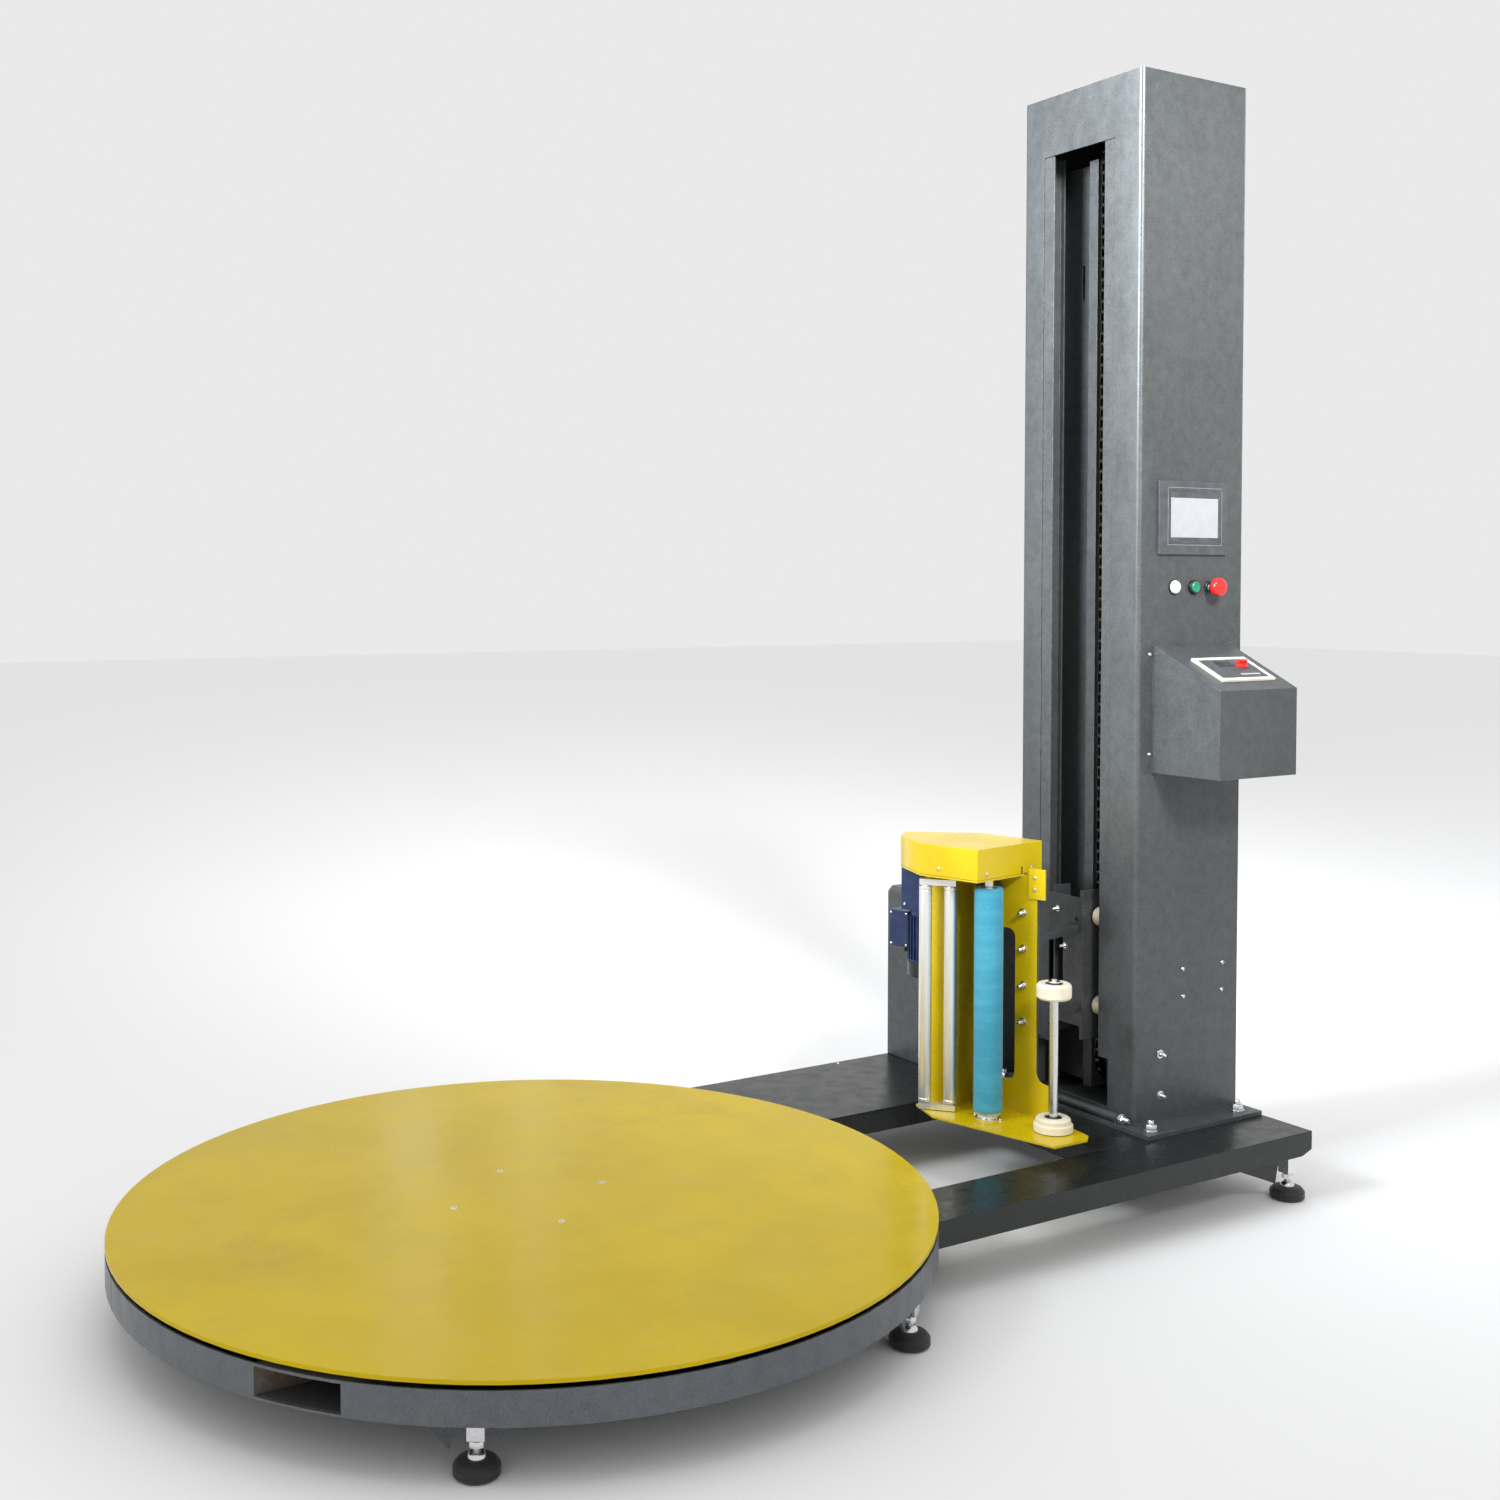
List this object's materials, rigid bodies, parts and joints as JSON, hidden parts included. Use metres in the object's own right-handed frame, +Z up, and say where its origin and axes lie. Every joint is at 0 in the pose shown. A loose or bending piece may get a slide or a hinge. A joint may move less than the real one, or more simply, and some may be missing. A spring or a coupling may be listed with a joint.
{
  "type": "turntable pallet wrapper",
  "caption": "Turntable stretch wrapper with a low round base, a mast with an operator's panel, and a climbing film carriage with stretch rollers.",
  "frame": {"origin": "on the floor, below the middle of the machine's outline", "axes": "+X from the turntable to the mast, -Y the side the operator's panel faces, +Z up"},
  "size_m": [2.58, 1.65, 2.597],
  "materials": {
    "mast_grey": "semi-gloss grey paint with a fine metallic grain",
    "ring_grey": "semi-gloss grey paint",
    "beam_grey": "glossy dark grey paint",
    "turntable_yellow": "glossy yellow paint",
    "head_yellow": "glossy yellow paint",
    "bright_steel": "machined and zinc plated",
    "galvanised": "galvanised sheet",
    "chain_steel": "oiled dark chain steel",
    "aluminium": "satin anodised",
    "nylon": "cream nylon",
    "blue_rubber": "matte ground rubber",
    "foot_black": "black rubber",
    "motor_blue": "blue motor enamel",
    "black_plastic": "black moulded plastic",
    "bezel_grey": "fine textured dark grey plastic",
    "screen": "clear glossy panel, unlit",
    "white_lens": "frosted white lens",
    "green_plastic": "glossy green",
    "red_plastic": "glossy red",
    "cream_plastic": "satin cream"
  },
  "bodies": {
    "frame": {"base_plate": "mast_grey", "base_ring": "ring_grey", "near_beam": "beam_grey", "far_beam": "beam_grey", "chain_cover": "beam_grey", "rear_crossmember": "beam_grey", "levelling_foot_1": "foot_black", "levelling_foot_2": "foot_black", "levelling_foot_3": "foot_black", "levelling_foot_4": "foot_black", "levelling_foot_5": "foot_black", "levelling_foot_6": "foot_black", "drive_chain": "chain_steel", "turntable_gearmotor": "motor_blue", "drive_cover": "mast_grey", "mast_column": "mast_grey", "mast_rear_cover": "mast_grey", "guide_rail_near": "mast_grey", "guide_rail_far": "mast_grey", "lift_chain": "chain_steel", "lift_gearmotor": "motor_blue", "control_plate": "galvanised", "hmi_bezel": "bezel_grey", "hmi_screen": "screen", "pilot_lamp": "white_lens", "start_button_collar": "black_plastic", "estop_collar": "black_plastic", "console_box": "mast_grey", "console_panel": "cream_plastic"},
    "turntable": {"turntable_disc": "turntable_yellow", "turntable_sprocket": "bright_steel"},
    "support_roller_1": {"support_roller_1": "nylon"},
    "support_roller_2": {"support_roller_2": "nylon"},
    "support_roller_3": {"support_roller_3": "nylon"},
    "support_roller_4": {"support_roller_4": "nylon"},
    "support_roller_5": {"support_roller_5": "nylon"},
    "support_roller_6": {"support_roller_6": "nylon"},
    "drive_sprocket": {"drive_sprocket": "bright_steel"},
    "carriage": {"carriage_frame": "mast_grey", "head_frame": "head_yellow", "top_cover": "head_yellow", "mandrel_rod": "bright_steel", "head_gearmotor": "motor_blue"},
    "guide_wheel_1": {"guide_wheel_1": "nylon"},
    "guide_wheel_2": {"guide_wheel_2": "nylon"},
    "guide_wheel_3": {"guide_wheel_3": "nylon"},
    "guide_wheel_4": {"guide_wheel_4": "nylon"},
    "lift_sprocket_lower": {"lift_sprocket_lower": "bright_steel"},
    "lift_sprocket_upper": {"lift_sprocket_upper": "bright_steel"},
    "stretch_roller_second": {"stretch_roller_second": "blue_rubber"},
    "stretch_roller_driven": {"stretch_roller_driven": "blue_rubber"},
    "dancer": {"dancer_arm": "aluminium"},
    "dancer_roller_1": {"dancer_roller_1": "aluminium"},
    "dancer_roller_2": {"dancer_roller_2": "aluminium"},
    "mandrel_base": {"mandrel_base": "nylon"},
    "mandrel_top": {"mandrel_top": "nylon"},
    "start_button": {"start_button": "green_plastic"},
    "estop_plunger": {"estop_stem": "bright_steel"},
    "estop_head": {"estop_head": "red_plastic"},
    "console_knob": {"console_knob": "red_plastic"}
  },
  "joints": [
    {"name": "turntable_spin", "type": "hinge", "parent": "frame", "child": "turntable", "pos_m": [-0.465, 0, 0.17], "axis": [0, 0, 1], "continuous": true},
    {"name": "support_roller_1_spin", "type": "hinge", "parent": "frame", "child": "support_roller_1", "pos_m": [0.185, 0, 0.1427], "axis": [1, 0, 0], "continuous": true},
    {"name": "support_roller_2_spin", "type": "hinge", "parent": "frame", "child": "support_roller_2", "pos_m": [-0.14, 0.56292, 0.1427], "axis": [0.5, 0.866, 0], "continuous": true},
    {"name": "support_roller_3_spin", "type": "hinge", "parent": "frame", "child": "support_roller_3", "pos_m": [-0.79, 0.56292, 0.1427], "axis": [-0.5, 0.866, 0], "continuous": true},
    {"name": "support_roller_4_spin", "type": "hinge", "parent": "frame", "child": "support_roller_4", "pos_m": [-1.115, 0, 0.1427], "axis": [-1, 0, 0], "continuous": true},
    {"name": "support_roller_5_spin", "type": "hinge", "parent": "frame", "child": "support_roller_5", "pos_m": [-0.79, -0.56292, 0.1427], "axis": [-0.5, -0.866, 0], "continuous": true},
    {"name": "support_roller_6_spin", "type": "hinge", "parent": "frame", "child": "support_roller_6", "pos_m": [-0.14, -0.56292, 0.1427], "axis": [0.5, -0.866, 0], "continuous": true},
    {"name": "drive_sprocket_spin", "type": "hinge", "parent": "frame", "child": "drive_sprocket", "pos_m": [1.015, 0.42, 0.143], "axis": [0, 0, 1], "continuous": true},
    {"name": "carriage_lift", "type": "slide", "parent": "frame", "child": "carriage", "axis": [0, 0, 1], "range_m": [0, 1.7]},
    {"name": "guide_wheel_1_spin", "type": "hinge", "parent": "carriage", "child": "guide_wheel_1", "pos_m": [0.977, -0.1735, 0.416], "axis": [0, 1, 0], "continuous": true},
    {"name": "guide_wheel_2_spin", "type": "hinge", "parent": "carriage", "child": "guide_wheel_2", "pos_m": [0.977, -0.1735, 0.629], "axis": [0, 1, 0], "continuous": true},
    {"name": "guide_wheel_3_spin", "type": "hinge", "parent": "carriage", "child": "guide_wheel_3", "pos_m": [0.977, -0.0105, 0.416], "axis": [0, 1, 0], "continuous": true},
    {"name": "guide_wheel_4_spin", "type": "hinge", "parent": "carriage", "child": "guide_wheel_4", "pos_m": [0.977, -0.0105, 0.629], "axis": [0, 1, 0], "continuous": true},
    {"name": "lift_sprocket_lower_spin", "type": "hinge", "parent": "frame", "child": "lift_sprocket_lower", "pos_m": [1.077, -0.097, 0.262], "axis": [0, 1, 0], "continuous": true},
    {"name": "lift_sprocket_upper_spin", "type": "hinge", "parent": "frame", "child": "lift_sprocket_upper", "pos_m": [1.077, -0.097, 2.52], "axis": [0, 1, 0], "continuous": true},
    {"name": "stretch_roller_second_spin", "type": "hinge", "parent": "carriage", "child": "stretch_roller_second", "pos_m": [0.68529, -0.08795, 0.46], "axis": [0, 0, 1], "continuous": true},
    {"name": "stretch_roller_driven_spin", "type": "hinge", "parent": "carriage", "child": "stretch_roller_driven", "pos_m": [0.64012, -0.13811, 0.46], "axis": [0, 0, 1], "continuous": true},
    {"name": "dancer_swing", "type": "hinge", "parent": "carriage", "child": "dancer", "pos_m": [0.59819, -0.05427, 0.46], "axis": [0, 0, 1], "range_deg": [-25, 40]},
    {"name": "dancer_roller_1_spin", "type": "hinge", "parent": "dancer", "child": "dancer_roller_1", "pos_m": [0.55994, -0.00988, 0.46], "axis": [0, 0, 1], "continuous": true},
    {"name": "dancer_roller_2_spin", "type": "hinge", "parent": "dancer", "child": "dancer_roller_2", "pos_m": [0.59819, -0.05427, 0.46], "axis": [0, 0, 1], "continuous": true},
    {"name": "mandrel_base_spin", "type": "hinge", "parent": "carriage", "child": "mandrel_base", "pos_m": [0.69953, -0.28871, 0.22], "axis": [0, 0, 1], "continuous": true},
    {"name": "mandrel_top_spin", "type": "hinge", "parent": "carriage", "child": "mandrel_top", "pos_m": [0.69953, -0.28871, 0.51], "axis": [0, 0, 1], "continuous": true},
    {"name": "start_button_push", "type": "slide", "parent": "frame", "child": "start_button", "axis": [0, 1, 0], "range_m": [0, 0.003], "stiffness_N_per_m": 400, "springref_m": -0.003},
    {"name": "estop_push", "type": "slide", "parent": "frame", "child": "estop_plunger", "axis": [0, 1, 0], "range_m": [0, 0.004]},
    {"name": "estop_twist", "type": "hinge", "parent": "estop_plunger", "child": "estop_head", "pos_m": [1.178, -0.31, 1.414], "axis": [0, -1, 0], "range_deg": [0, 45]},
    {"name": "console_knob_turn", "type": "hinge", "parent": "frame", "child": "console_knob", "pos_m": [1.162, -0.40246, 1.22876], "axis": [0, -0.44, 0.898], "range_deg": [0, 90]}
  ],
  "couplings": [
    {"joint": "support_roller_1_spin", "follows": "turntable_spin", "ratio": -26},
    {"joint": "support_roller_2_spin", "follows": "turntable_spin", "ratio": -26},
    {"joint": "support_roller_3_spin", "follows": "turntable_spin", "ratio": -26},
    {"joint": "support_roller_4_spin", "follows": "turntable_spin", "ratio": -26},
    {"joint": "support_roller_5_spin", "follows": "turntable_spin", "ratio": -26},
    {"joint": "support_roller_6_spin", "follows": "turntable_spin", "ratio": -26},
    {"joint": "drive_sprocket_spin", "follows": "turntable_spin", "ratio": 2.0769},
    {"joint": "guide_wheel_1_spin", "follows": "carriage_lift", "rad_per_m": 44.444},
    {"joint": "guide_wheel_2_spin", "follows": "carriage_lift", "rad_per_m": -44.444},
    {"joint": "guide_wheel_3_spin", "follows": "carriage_lift", "rad_per_m": 44.444},
    {"joint": "guide_wheel_4_spin", "follows": "carriage_lift", "rad_per_m": -44.444},
    {"joint": "lift_sprocket_lower_spin", "follows": "carriage_lift", "rad_per_m": 22.184},
    {"joint": "lift_sprocket_upper_spin", "follows": "carriage_lift", "rad_per_m": 22.184},
    {"joint": "stretch_roller_driven_spin", "follows": "stretch_roller_second_spin", "ratio": -3.9091}
  ]
}
